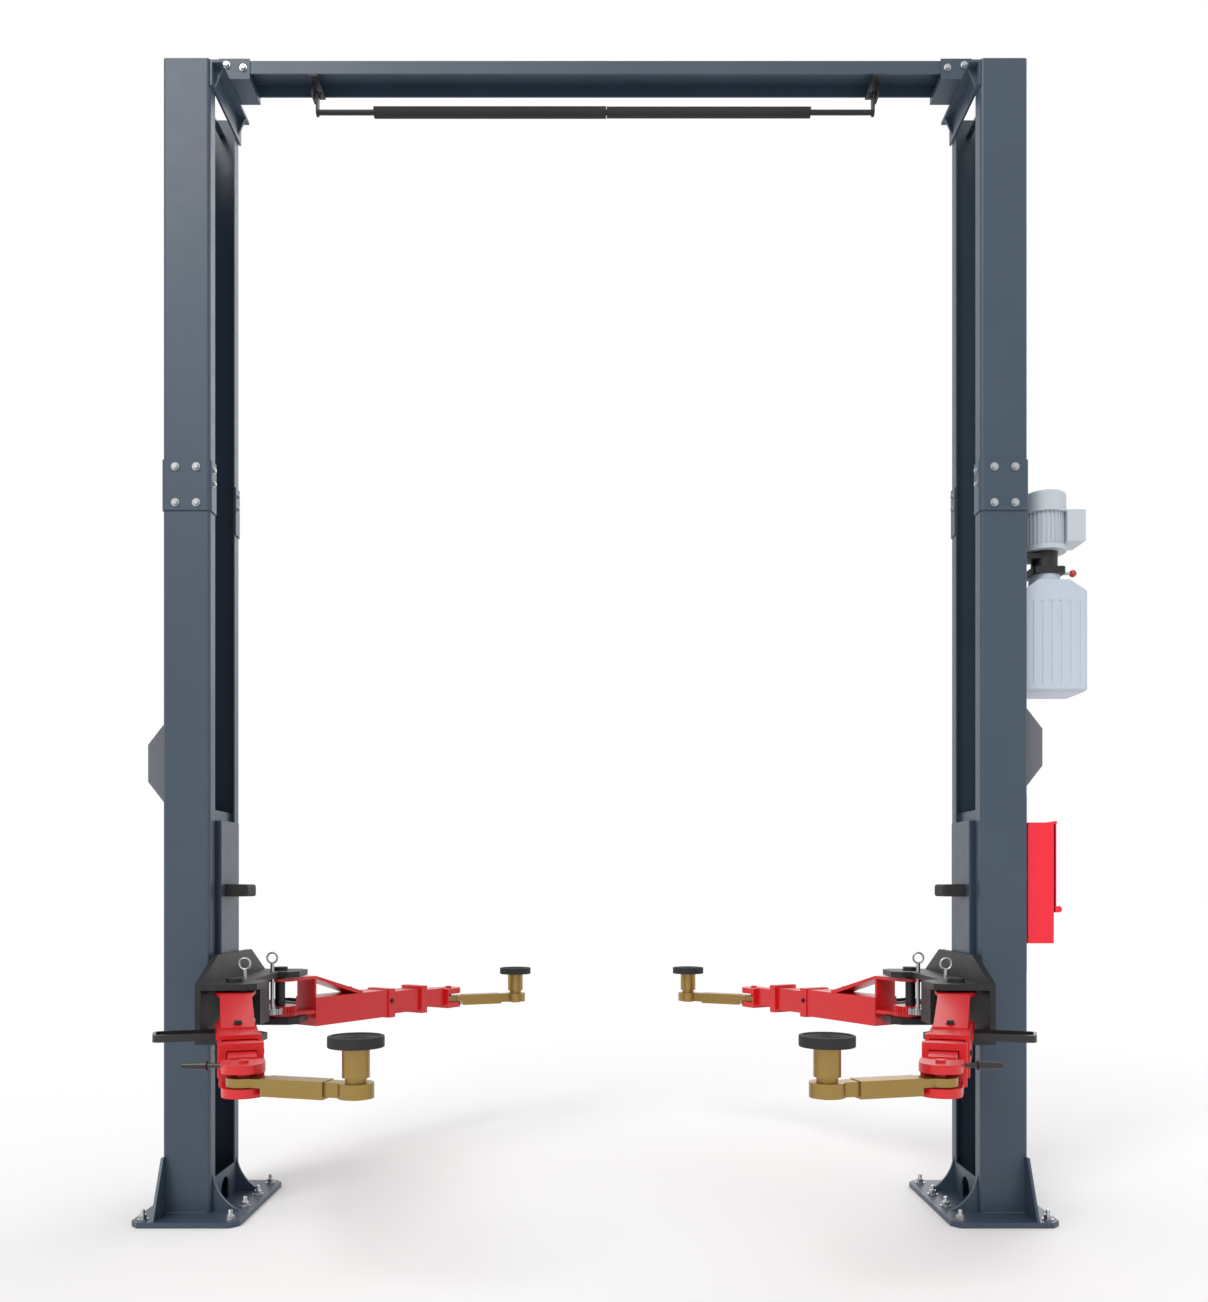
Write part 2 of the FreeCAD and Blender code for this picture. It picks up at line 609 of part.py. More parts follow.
def arm_inner(pivot, grip_side):
    width, low, top = s3_size()
    back = pivot - CLEVIS_BACK
    body = bar(width, pivot - S3_LENGTH, back, low, top)
    hollow = bar(width - 2 * ARM_WALL, pivot - S3_LENGTH, back - ARM_WALL, low + ARM_WALL, top - ARM_WALL)
    shapes = [body.cut(hollow)]
    for z0 in (CLEVIS_LOW, CLEVIS_TOP - CLEVIS_THICK):
        shapes.append(cyl(CLEVIS_R, z0, z0 + CLEVIS_THICK, pivot))
        shapes.append(bar(2 * CLEVIS_R, back, pivot, z0, z0 + CLEVIS_THICK))
    shapes.append(bar(2 * CLEVIS_R, back, back + ARM_WALL, CLEVIS_LOW, CLEVIS_TOP))
    shapes.append(cyl(LINK_PIN_R, CLEVIS_LOW, CLEVIS_TOP + ARM_WALL, pivot))
    angle = math.radians(grip_side * GRIP_ANGLE)
    way = V(math.cos(angle), math.sin(angle), 0)
    z = CLEVIS_TOP - CLEVIS_THICK / 2
    start = V(pivot - CLEVIS_R / 2, 0, z)
    shapes.append(Part.makeCylinder(GRIP_ROD_R, GRIP_REACH - GRIP_LENGTH / 2, start, way))
    grip = Part.makeCone(GRIP_R, GRIP_R * 0.7, GRIP_LENGTH, start + way * (GRIP_REACH - GRIP_LENGTH), way)
    return fuse(shapes + [grip])


def link(pivot, turn):
    """Gold pivoting link with a square sleeve and a round end that takes the pad screw."""
    low = LINK_TONGUE_LOW
    tongue = fuse([cyl(LINK_TONGUE_R, low, low + LINK_TONGUE_THICK),
                   bar(LINK_SLEEVE_WIDTH, 0, LINK_SLEEVE_START + 4, low, low + LINK_TONGUE_THICK)])
    sleeve_box = bar(LINK_SLEEVE_WIDTH, LINK_SLEEVE_START, LINK_SLEEVE_END, LINK_SLEEVE_LOW,
                     LINK_SLEEVE_LOW + LINK_SLEEVE_TALL)
    holder = fuse([bar(LINK_BAR_WIDTH, LINK_SLEEVE_END - 4, LINK_LENGTH, LINK_END_LOW,
                       LINK_END_LOW + LINK_END_TALL),
                   cyl(LINK_END_R, LINK_END_LOW, LINK_END_LOW + LINK_END_TALL, LINK_LENGTH)])
    body = fuse([tongue, sleeve_box, holder])
    body = body.cut([cyl(LINK_PIN_R + PIN_GAP, low - 1, low + LINK_TONGUE_THICK + 1),
                     cyl(SPIGOT_R + PIN_GAP, LINK_END_LOW - 1, LINK_END_LOW + LINK_END_TALL + 1,
                         LINK_LENGTH)])
    return place_link(body, pivot, turn)


def pad_screw(pivot, turn):
    top = LINK_END_LOW + LINK_END_TALL + SEAT_GAP
    body = fuse([cyl(SPIGOT_R, SPIGOT_LOW, top + 1, LINK_LENGTH),
                 cyl(STEM_COLLAR_R, top, STEM_LOW, LINK_LENGTH),
                 cyl(STEM_R, STEM_LOW, STEM_TOP, LINK_LENGTH)])
    return place_link(body, pivot, turn)


def pad(pivot, turn):
    """Round rubber pad with a shallow dished top inside a rim."""
    body = cyl(PAD_R, STEM_TOP, STEM_TOP + PAD_THICK, LINK_LENGTH)
    edges = [e for e in body.Edges if len(e.Vertexes) == 1]
    body = body.makeFillet(PAD_DISH, edges)
    dish = cyl(PAD_R - 4 * PAD_DISH, STEM_TOP + PAD_THICK - PAD_DISH, STEM_TOP + PAD_THICK, LINK_LENGTH)
    return place_link(body.cut(dish), pivot, turn)


def place_link(shape, pivot, turn):
    shape.rotate(V(0, 0, 0), V(0, 0, 1), turn)
    shape.translate(V(pivot, 0, 0))
    return shape


def arm_nodes(name):
    """All pieces of one arm, placed at their rest pose."""
    sx, sy, swing, end, pivot, turn = ARM_REST[name]
    heading = sy * 90.0 - sx * sy * -swing
    inward = 1.0 if sx * sy > 0 else -1.0
    pieces = {
        "arm_outer": fuse([arm_outer(), foot_guard(-inward)]),
        "arm_middle": arm_middle(end),
        "arm_inner": arm_inner(pivot, -inward),
        "arm_link": link(pivot, inward * turn),
        "pad_screw": pad_screw(pivot, inward * turn),
        "lift_pad": pad(pivot, inward * turn),
    }
    nodes = {}
    for piece, shape in pieces.items():
        shape.rotate(V(0, 0, 0), V(0, 0, 1), heading)
        shape.translate(V(sx * PIN_X, sy * PIN_Y, 0))
        nodes[f"{piece}_{name}"] = shape
    return nodes


# Lock covers, power unit, tank and cabinet on the outer faces
def lock_cover(name):
    low = LOCK_COVER_LOW[name]
    x0 = POST_FACE + POST_DEPTH
    x1 = x0 + LOCK_COVER_DEEP
    top = low + LOCK_COVER_TALL
    s = LOCK_COVER_SLOPE
    return prism([(x0, -LOCK_COVER_HALF_Y, low), (x1, -LOCK_COVER_HALF_Y, low + s),
                  (x1, -LOCK_COVER_HALF_Y, top - s), (x0, -LOCK_COVER_HALF_Y, top)],
                 (0, 2 * LOCK_COVER_HALF_Y, 0))


def motor():
    body = cyl(MOTOR_R - FIN_TALL, MOTOR_LOW, MOTOR_TOP - MOTOR_FAN)
    cap = cyl(MOTOR_FAN_R, MOTOR_TOP - MOTOR_FAN, MOTOR_TOP)
    cap = cap.makeFillet(12.0, [e for e in cap.Edges if abs(e.CenterOfMass.z - MOTOR_TOP) < 0.1
                                and len(e.Vertexes) == 1])
    flange = cyl(MOTOR_R + 6, MOTOR_LOW, MOTOR_LOW + 18)
    fins = []
    for i in range(MOTOR_FINS):
        fin = box(MOTOR_R - FIN_TALL - 2, MOTOR_R, -FIN_THICK / 2, FIN_THICK / 2,
                  MOTOR_LOW + 10, MOTOR_TOP - MOTOR_FAN + 4)
        fin.rotate(V(0, 0, 0), V(0, 0, 1), 360.0 * i / MOTOR_FINS)
        fins.append(fin)
    shape = fuse([body, cap, flange] + fins)
    shape.translate(V(UNIT_X, 0, 0))
    terminal = box(UNIT_X + MOTOR_R - FIN_TALL - 4, TERMINAL_X, -TERMINAL_HALF_Y, TERMINAL_HALF_Y,
                   TERMINAL_LOW, TERMINAL_LOW + TERMINAL_TALL)
    return fuse([shape, terminal])


def pump_block():
    """Pump neck and valve block under the motor, with the bracket to the post."""
    neck = cyl(PUMP_NECK_R, PUMP_LOW + 20, MOTOR_LOW, UNIT_X)
    block = round_upright(box(UNIT_X - PUMP_R, UNIT_X + PUMP_R, -PUMP_R, PUMP_R,
                              PUMP_LOW, PUMP_LOW + 26), 14.0)
    x0 = POST_FACE + POST_DEPTH
    plate = box(x0, x0 + UNIT_BRACKET_THICK, -PUMP_R, PUMP_R, PUMP_LOW, MOTOR_LOW)
    shelf = box(x0, UNIT_X, -PUMP_R * 0.7, PUMP_R * 0.7, MOTOR_LOW - UNIT_BRACKET_THICK * 3,
                MOTOR_LOW - UNIT_BRACKET_THICK)
    return fuse([neck, block, plate, shelf])


def oil_tank():
    """Plastic tank with a sloping shoulder and ribbed walls."""
    y = TANK_HALF_Y
    body = prism([(TANK_IN, -y, TANK_LOW), (TANK_OUT, -y, TANK_LOW), (TANK_OUT, -y, TANK_SHOULDER),
                  (UNIT_X + TANK_NECK_HALF, -y, TANK_NECK_LOW), (UNIT_X - TANK_NECK_HALF, -y, TANK_NECK_LOW),
                  (TANK_IN, -y, TANK_SHOULDER)], (0, 2 * y, 0))
    body = round_upright(body, TANK_ROUND)
    bottom = [e for e in body.Edges if abs(e.BoundBox.ZMax - TANK_LOW) < 0.1]
    body = body.makeFillet(TANK_ROUND * 0.7, bottom)
    step = (TANK_OUT - TANK_IN - 2 * TANK_ROUND) / TANK_RIBS
    grooves = []
    for i in range(TANK_RIBS):
        x = TANK_IN + TANK_ROUND + step * (i + 0.5)
        for y0 in (-y, y - RIB_DEEP):
            grooves.append(box(x - RIB_WIDE / 2, x + RIB_WIDE / 2, y0, y0 + RIB_DEEP,
                               TANK_LOW + 30, TANK_SHOULDER - 30))
    body = body.cut(grooves)
    neck = cyl(TANK_NECK_HALF, TANK_NECK_LOW, TANK_TOP, UNIT_X)
    return fuse([body, neck])


def cabinet_rail():
    x0 = POST_FACE + POST_DEPTH
    shapes = [box(x0, x0 + RAIL_THICK, y - RAIL_WIDTH / 2, y + RAIL_WIDTH / 2, RAIL_LOW, RAIL_TOP)
              for y in (RAIL_Y, -RAIL_Y)]
    return Part.makeCompound(shapes)


def cabinet():
    """Open-fronted sheet box: back, sides, floor, top lip and a low front."""
    x0 = POST_FACE + POST_DEPTH + RAIL_THICK
    x1 = x0 + BOX_DEEP
    y = BOX_HALF_Y
    shell = box(x0, x1, -y, y, BOX_LOW, BOX_TOP).cut(
        box(x0 + BOX_WALL, x1 - BOX_WALL, -y + BOX_WALL, y - BOX_WALL, BOX_LOW + BOX_WALL,
            BOX_TOP - BOX_WALL))
    return shell.cut(box(x1 - BOX_WALL, x1, -y + BOX_WALL, y - BOX_WALL, BOX_FRONT_TOP,
                         BOX_TOP - BOX_WALL))


def cabinet_lid():
    """Hinged front, folded round the sides and rolled out at the bottom as a grip."""
    x0 = POST_FACE + POST_DEPTH + RAIL_THICK + BOX_DEEP + LID_GAP
    y = BOX_HALF_Y
    top = BOX_TOP
    face = box(x0, x0 + LID_WALL, -y, y, LID_LOW, top)
    roll = Part.makeCylinder(12.0, 2 * y, V(x0 + 12.0, -y, LID_LOW + 12.0), V(0, 1, 0))
    barrel = Part.makeCylinder(LID_HINGE_R, 2 * y, V(x0, -y, top), V(0, 1, 0))
    return fuse([face, roll, barrel])


# Lifting cable inside the mouth of the post, and its foot pulley
def lift_cable():
    x = POST_FACE + POST_WALL + PULLEY_SET + PULLEY_THICK / 2
    inner = POST_HALF_WIDTH - POST_WALL
    cable = cyl(CABLE_R, BASE_THICK + PULLEY_R + PULLEY_AXLE_R, CABLE_TOP, x, PULLEY_R)
    anchor = box(x - PULLEY_AXLE_R, x + PULLEY_AXLE_R, -inner, inner, CABLE_TOP, CABLE_TOP + PULLEY_AXLE_R)
    return fuse([cable, anchor])


def foot_pulley():
    """Grooved wheel on an axle between two cheeks that stand on the base plate."""
    z = BASE_THICK + PULLEY_R + PULLEY_AXLE_R
    x = POST_FACE + POST_WALL + PULLEY_SET
    wheel = Part.makeCylinder(PULLEY_R, PULLEY_THICK, V(x, 0, z), V(1, 0, 0))
    groove = Part.makeTorus(PULLEY_R, PULLEY_THICK * 0.3, V(x + PULLEY_THICK / 2, 0, z), V(1, 0, 0))
    axle = Part.makeCylinder(PULLEY_AXLE_R, PULLEY_THICK + 20, V(x - 10, 0, z), V(1, 0, 0))
    cheeks = [box(x + dx, x + dx + 6, -14.0, 14.0, BASE_THICK, z + 14) for dx in (-10, PULLEY_THICK + 4)]
    return fuse([wheel.cut(groove), axle] + cheeks)


def all_nodes():
    nodes = {}
    for name in ("left", "right"):
        own = {
            "base_plate": fuse([base_plate(), foot_plate()]),
            "post_lower": channel(BASE_THICK, SEAM_Z),
            "post_upper": channel(SEAM_Z, POST_TOP),
            "splice_sleeve": sleeve(),
            "beam_bracket": beam_bracket(),
            "bar_hanger": bar_hanger(),
            "lock_cover": lock_cover(name),
            "lift_cable": lift_cable(),
            "foot_pulley": foot_pulley(),
            "carriage": carriage(),
            "door_bumper": door_bumper(),
            "arm_head": arm_head(),
            "arm_locks": arm_locks(),
        }
        for piece, shape in own.items():
            nodes[f"{piece}_{name}"] = shape if name == "right" else mirror_x(shape)
    for name in ARM_REST:
        nodes.update(arm_nodes(name))
    nodes["crossbeam"] = crossbeam()
    nodes["limit_bar"] = limit_bar()
    nodes["bar_foam"] = bar_foam()
    nodes["motor"] = motor()
    nodes["pump_block"] = pump_block()
    nodes["oil_tank"] = oil_tank()
    nodes["cabinet_rail"] = cabinet_rail()
    nodes["cabinet"] = cabinet()
    nodes["cabinet_lid"] = cabinet_lid()
    return nodes


os.makedirs("parts", exist_ok=True)
for node, shape in all_nodes().items():
    shape.exportStep(f"parts/{node}.step")
    print(node, len(shape.Solids), shape.isValid(), round(shape.Volume / 1e6, 2))
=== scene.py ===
import json
import logging
import math
from dataclasses import dataclass
from enum import Enum

import bpy
import numpy as np
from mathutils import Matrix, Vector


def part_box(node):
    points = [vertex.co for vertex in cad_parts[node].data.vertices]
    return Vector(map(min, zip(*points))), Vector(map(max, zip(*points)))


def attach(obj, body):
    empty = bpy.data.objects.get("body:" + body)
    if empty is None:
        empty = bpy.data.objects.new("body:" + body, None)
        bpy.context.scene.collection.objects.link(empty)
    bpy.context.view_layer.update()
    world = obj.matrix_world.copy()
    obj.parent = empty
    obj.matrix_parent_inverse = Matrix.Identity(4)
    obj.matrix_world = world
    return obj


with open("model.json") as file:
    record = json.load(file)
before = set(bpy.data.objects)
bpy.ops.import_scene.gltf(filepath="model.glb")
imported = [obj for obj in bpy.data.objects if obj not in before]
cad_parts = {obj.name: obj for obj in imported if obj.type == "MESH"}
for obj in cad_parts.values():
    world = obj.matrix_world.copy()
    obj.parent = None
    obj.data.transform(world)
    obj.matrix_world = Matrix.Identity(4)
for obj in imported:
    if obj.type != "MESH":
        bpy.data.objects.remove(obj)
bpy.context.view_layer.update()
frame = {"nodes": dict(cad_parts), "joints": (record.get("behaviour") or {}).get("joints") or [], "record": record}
LOG = logging.getLogger("lift")
SIDES = {"left": -1.0, "right": 1.0}
ARMS = ("front_left", "front_right", "rear_left", "rear_right")
POLE_R = 1e-5  # radius at which a turned profile ends on its axis, in metres


def linear(r: float, g: float, b: float) -> tuple[float, float, float, float]:
    """Colour written as 0 to 255 on screen, as the linear values a shader takes."""
    return tuple(((c / 255 + 0.055) / 1.055) ** 2.4 for c in (r, g, b)) + (1.0,)


class Sock:
    """A shader socket on which Python arithmetic adds Math nodes."""

    def __init__(self, mat: "Shader", out: bpy.types.NodeSocket) -> None:
        """Keeps the socket and the shader that it belongs to."""
        self.mat, self.out = mat, out

    def _math(self, op: str, a: object, b: object) -> "Sock":
        """Adds one Math node."""
        return self.mat.node("ShaderNodeMath", {"operation": op}, {0: a, 1: b})[0]

    def __add__(self, other: object) -> "Sock":
        """Sum."""
        return self._math("ADD", self, other)

    def __mul__(self, other: object) -> "Sock":
        """Product."""
        return self._math("MULTIPLY", self, other)

    __radd__ = __add__
    __rmul__ = __mul__


class Shader:
    """A node material built from sockets."""

    def __init__(self, name: str) -> None:
        """Starts a material with one Principled shader."""
        self.data = bpy.data.materials.new(name)
        self.data.use_nodes = True
        self.tree = self.data.node_tree
        self.bsdf = next(n for n in self.tree.nodes if n.type == "BSDF_PRINCIPLED")
        self.place = self.node("ShaderNodeTexCoord", {}, {}, "Object")[0]

    def node(self, kind: str, settings: dict, values: dict, *outs: "str | int") -> list[Sock]:
        """Adds a node.

        Args:
            kind: type of the node.
            settings: what is set on the node first.
            values: value or link of each input socket.
            outs: names of the outputs wanted, or none for the first.

        Returns:
            The wanted outputs as sockets.
        """
        made = self.tree.nodes.new(kind)
        for key, value in settings.items():
            setattr(made, key, value)
        for key, value in values.items():
            if isinstance(value, Sock):
                self.tree.links.new(value.out, made.inputs[key])
            else:
                made.inputs[key].default_value = value
        return [Sock(self, made.outputs[o]) for o in (outs or (0,))]

    def noise(self, scale: float, detail: float = 4.0) -> Sock:
        """Noise between 0 and 1 at a number of waves to the metre."""
        return self.node("ShaderNodeTexNoise", {},
                         {"Vector": self.place, "Scale": scale, "Detail": detail}, "Fac")[0]

    def mix(self, factor: Sock, a: "Sock | tuple", b: "Sock | tuple") -> Sock:
        """Colour between two colours, which are the Mix node's inputs 6 and 7."""
        return self.node("ShaderNodeMix", {"data_type": "RGBA"}, {"Factor": factor, 6: a, 7: b}, 2)[0]

    def feed(self, socket: str, value: Sock) -> None:
        """Links a value to the shader."""
        self.tree.links.new(value.out, self.bsdf.inputs[socket])

    def beyond(self, way: tuple, limit: float) -> Sock:
        """1 where a point lies further than a limit along a direction, else 0."""
        reach = self.node("ShaderNodeVectorMath", {"operation": "DOT_PRODUCT"},
                          {0: self.place, 1: tuple(way)}, "Value")[0]
        return self.node("ShaderNodeMath", {"operation": "GREATER_THAN"}, {0: reach, 1: limit})[0]

    def bump(self, height: Sock, strength: float, distance: float) -> None:
        """Raises the surface by a height, in metres times the strength."""
        normal = self.node("ShaderNodeBump", {},
                           {"Height": height, "Strength": strength, "Distance": distance}, "Normal")[0]
        self.feed("Normal", normal)


@dataclass(frozen=True)
class Dip:
    """A dark coat past a limit along one direction and a start along another, in metres."""

    way: tuple[float, float, float]
    limit: float
    along: tuple[float, float, float]
    start: float
    tone: tuple[float, float, float] = (20, 20, 22)


@dataclass(frozen=True)
class Finish:
    """One surface finish: two tones that drift into each other, a sheen and a fine grain."""

    name: str
    tone: tuple[float, float, float]
    drift: tuple[float, float, float]
    rough: float
    spread: float = 0.12
    metal: float = 0.0
    coat: float = 0.0
    grain: float = 900.0
    relief: float = 0.0002
    cloud: float = 3.0
    grain_share: float = 0.25
    coat_rough: float = 0.12
    bump_strength: float = 0.5

    def make(self, dip: "Dip | None" = None) -> bpy.types.Material:
        """The finish as a material.

        Args:
            dip: where a dark coat takes over, or None for the one colour.

        Returns:
            The material.
        """
        mat = Shader(self.name)
        cloud = mat.noise(self.cloud)
        grain = mat.noise(self.grain, 2.0)
        blend = cloud * (1 - self.grain_share) + grain * self.grain_share
        colour = mat.mix(blend, linear(*self.tone), linear(*self.drift))
        if dip:
            mask = mat.beyond(dip.way, dip.limit) * mat.beyond(dip.along, dip.start)
            colour = mat.mix(mask, colour, linear(*dip.tone))
        mat.feed("Base Color", colour)
        mat.feed("Roughness", mat.noise(self.cloud * 6) * self.spread + (self.rough - self.spread / 2))
        mat.bsdf.inputs["Metallic"].default_value = self.metal
        mat.bsdf.inputs["Coat Weight"].default_value = self.coat
        mat.bsdf.inputs["Coat Roughness"].default_value = self.coat_rough
        mat.bump(grain, self.bump_strength, self.relief)
        return mat.data


class Look(Enum):
    """The finishes, by the record's slots and then those of small pieces."""

    post_paint = Finish("blue_grey_paint", (46, 62, 78), (58, 74, 90), 0.42, coat=0.08)
    arm_red = Finish("red_paint", (196, 10, 18), (214, 20, 26), 0.34, coat=0.15)
    black_paint = Finish("black_powder_coat", (12, 13, 15), (22, 23, 25), 0.5)
    grey_paint = Finish("grey_enamel", (92, 95, 102), (106, 109, 116), 0.46, grain=500.0)
    cabinet_red = Finish("crimson_sheet", (236, 4, 36), (246, 12, 50), 0.34, coat=0.15)
    zinc_gold = Finish("yellow_zinc", (164, 126, 62), (148, 132, 84), 0.34, 0.2, 0.85, cloud=22.0)
    bare_steel = Finish("bright_steel", (190, 192, 194), (164, 168, 172), 0.28, metal=0.95, cloud=30.0)
    rubber = Finish("black_rubber", (20, 20, 21), (32, 32, 33), 0.72, relief=0.0006, grain=420.0)
    foam = Finish("foam_sleeve", (30, 31, 33), (44, 45, 48), 0.85, relief=0.0012, grain=300.0)
    tank_plastic = Finish("tank_plastic", (182, 192, 206), (194, 202, 214), 0.4, grain=200.0)
    light_enamel = Finish("light_enamel", (180, 188, 196), (196, 204, 210), 0.42, grain=500.0)
    weld = Finish("weld_bead", (52, 66, 80), (70, 86, 100), 0.4, coat=0.2, grain=300.0)
    red_knob = Finish("red_knob", (186, 24, 26), (200, 38, 36), 0.35, coat=0.4)


MATERIALS = {look.name: look.value.make() for look in Look}


def add_mesh(name: str, parts: list[tuple[np.ndarray, np.ndarray]], look: Look, body: str) -> None:
    """Joins grids into one piece, finishes it and lets it ride on a body.

    Args:
        name: name of the piece.
        parts: pairs of points and four-cornered faces.
        look: finish of the piece.
        body: body that carries it.
    """
    points, faces, base = [], [], 0
    for verts, quads in parts:
        points.append(verts)
        faces.append(quads + base)
        base += len(verts)
    mesh = bpy.data.meshes.new(name)
    mesh.from_pydata(np.vstack(points).tolist(), [], np.vstack(faces).tolist())
    mesh.validate()
    mesh.materials.append(MATERIALS[look.name])
    piece = bpy.data.objects.new(name, mesh)
    bpy.context.scene.collection.objects.link(piece)
    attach(piece, body)
    LOG.info("%s: %d faces on %s", name, len(mesh.polygons), body)


def grid_faces(rows: int, cols: int) -> np.ndarray:
    """Faces of a grid whose columns close into a ring; row r, column c is point r * cols + c."""
    r, c = np.meshgrid(np.arange(rows - 1), np.arange(cols), indexing="ij")
    n = (c + 1) % cols
    return np.stack([r * cols + c, r * cols + n, (r + 1) * cols + n, (r + 1) * cols + c], -1).reshape(-1, 4)


def turned(profile: list[tuple[float, float]], at: np.ndarray, axis: np.ndarray,
           count: int = 24) -> tuple[np.ndarray, np.ndarray]:
    """A profile turned round an axis.

    Each point is at + axis * height + radius * (u * cos a + v * sin a), with u and v square to the axis.

    Args:
        profile: pairs of radius and height, in metres.
        at: where height is zero.
        axis: unit direction of the height.
        count: points round the axis.

    Returns:
        Points and four-cornered faces.
    """
    axis = np.asarray(axis, float)
    u = np.cross(axis, (0.0, 1.0, 0.0) if abs(axis[1]) < 0.9 else (1.0, 0.0, 0.0))
    u /= np.linalg.norm(u)
    v = np.cross(axis, u)
    a = np.arange(count) * 2 * math.pi / count
    ring = np.cos(a)[:, None] * u + np.sin(a)[:, None] * v
    p = np.asarray(profile, float)
    verts = np.asarray(at) + p[:, 1, None, None] * axis + p[:, 0, None, None] * ring
    return verts.reshape(-1, 3), grid_faces(len(p), count)


@dataclass(frozen=True)
class Bolt:
    """Washer, six-sided head and, where it has one, a stud above it.

    Lengths are in metres, and the shares are of the head's or the stud's radius.
    """

    head_r: float = 0.011
    head: float = 0.009
    stud_r: float = 0.0
    stud: float = 0.0
    washer_share: float = 1.35
    washer_height_share: float = 0.2
    chamfer_share: float = 0.88
    root_share: float = 0.9
    tip_share: float = 0.8
    thread_points: int = 12

    def parts(self, at: tuple, axis: tuple) -> list[tuple[np.ndarray, np.ndarray]]:
        """Grids of one bolt.

        Args:
            at: point on the face that the bolt stands on.
            axis: the face's normal.

        Returns:
            Points and faces of the washer, the head and the stud.
        """
        r, w, low = self.head_r, self.head_r * self.washer_share, self.head_r * self.washer_height_share
        top = low + self.head
        rim = [(r, low), (r, top - low / 2), (r * self.chamfer_share, top)]
        made = [turned([(POLE_R, 0), (w, 0), (w, low), (POLE_R, low)], at, axis),
                turned([(POLE_R, low)] + rim + [(POLE_R, top)], at, axis, 6)]
        if self.stud:
            s, count, end = self.stud_r, self.thread_points, top + self.stud
            thread = [(s * (self.root_share if i % 2 else 1.0), top + self.stud * i / count)
                      for i in range(count)]
            tip = [(s * self.tip_share, end), (POLE_R, end)]
            made.append(turned([(POLE_R, top)] + thread + tip, at, axis, 16))
        return made


@dataclass
class PostFittings:
    """Bolts, anchors and welds of one post; sizes in metres."""

    side: str
    post_face: float = 1.400
    post_depth: float = 0.171
    half_width: float = 0.170
    sleeve_y: float = 0.175
    bolt_x: tuple[float, float] = (1.448, 1.524)
    bolt_z: tuple[float, float] = (2.599, 2.729)
    lip_out: float = 0.005
    lip_y: float = 0.14
    lip_z: tuple[float, float] = (2.678, 2.727)
    anchor_x: tuple[float, float] = (1.300, 1.612)
    anchor_outer_y: float = 0.25
    anchor_inner_y: float = 0.08
    base_top: float = 0.020
    cradle_spots: tuple[tuple[float, float], ...] = ((1.372, 4.262), (1.310, 4.252))
    cradle_y: float = 0.070
    sleeve_bolt: Bolt = Bolt()
    lip_bolt: Bolt = Bolt(0.008, 0.006)
    anchor: Bolt = Bolt(0.015, 0.014, 0.008, 0.018)
    cradle_bolt: Bolt = Bolt(0.010, 0.008)
    bead_r: float = 0.004
    bead_ripple: float = 0.0006
    bead_waves: float = 260.0
    bead_start: float = 0.012
    bead_steps: int = 700
    bead_sides: int = 10

    def build(self) -> None:
        """Makes the post's fittings."""
        s = SIDES[self.side]
        rows = [part for x in self.bolt_x for z in self.bolt_z for f in (-1.0, 1.0)
                for part in self.sleeve_bolt.parts((s * x, f * self.sleeve_y, z), (0, f, 0))]
        face = self.post_face - self.lip_out
        rows += [part for z in self.lip_z for y in (-self.lip_y, self.lip_y)
                 for part in self.lip_bolt.parts((s * face, y, z), (-s, 0, 0))]
        add_mesh(f"sleeve_bolts_{self.side}", rows, Look.bare_steel, "root")
        spots = [(x, y) for x in self.anchor_x for y in (-self.anchor_outer_y, self.anchor_outer_y)]
        spots += [(self.anchor_x[0], y) for y in (-self.anchor_inner_y, self.anchor_inner_y)]
        anchors = [p for x, y in spots for p in self.anchor.parts((s * x, y, self.base_top), (0, 0, 1))]
        add_mesh(f"anchors_{self.side}", anchors, Look.bare_steel, "root")
        self.weld(s)
        cradle = [p for x, z in self.cradle_spots for f in (-1.0, 1.0)
                  for p in self.cradle_bolt.parts((s * x, f * self.cradle_y, z), (0, f, 0))]
        add_mesh(f"cradle_bolts_{self.side}", cradle, Look.bare_steel, "root")

    def weld(self, s: float) -> None:
        """Weld bead at the post's foot.

        The path is three sides of the post's outer rectangle, and the bead's radius is bead_r plus
        bead_ripple times the sine of bead_waves times the place along it, which runs from 0 to 3.

        Args:
            s: 1 on the +X side and -1 on the other.
        """
        x0, x1, y = self.post_face + self.bead_start, self.post_face + self.post_depth, self.half_width
        corners = np.array([(x0, -y), (x1, -y), (x1, y), (x0, y)])
        t = np.linspace(0, 3, self.bead_steps)
        i = np.minimum(t.astype(int), 2)
        f = (t - i)[:, None]
        path = corners[i] * (1 - f) + corners[i + 1] * f
        way = corners[i + 1] - corners[i]
        way /= np.linalg.norm(way, axis=1)[:, None]
        out = np.stack([way[:, 1], -way[:, 0]], 1)
        a = np.arange(self.bead_sides) * 2 * math.pi / self.bead_sides
        r = self.bead_r + self.bead_ripple * np.sin(t * self.bead_waves)
        flat = path[:, None, :] + out[:, None, :] * (r[:, None, None] * np.cos(a)[None, :, None])
        z = self.base_top + r[:, None] * np.sin(a)[None, :]
        verts = np.concatenate([flat, z[..., None]], -1).reshape(-1, 3)
        verts[:, 0] *= s
        bead = (verts, grid_faces(len(t), self.bead_sides))
        add_mesh(f"foot_weld_{self.side}", [bead], Look.weld, "root")


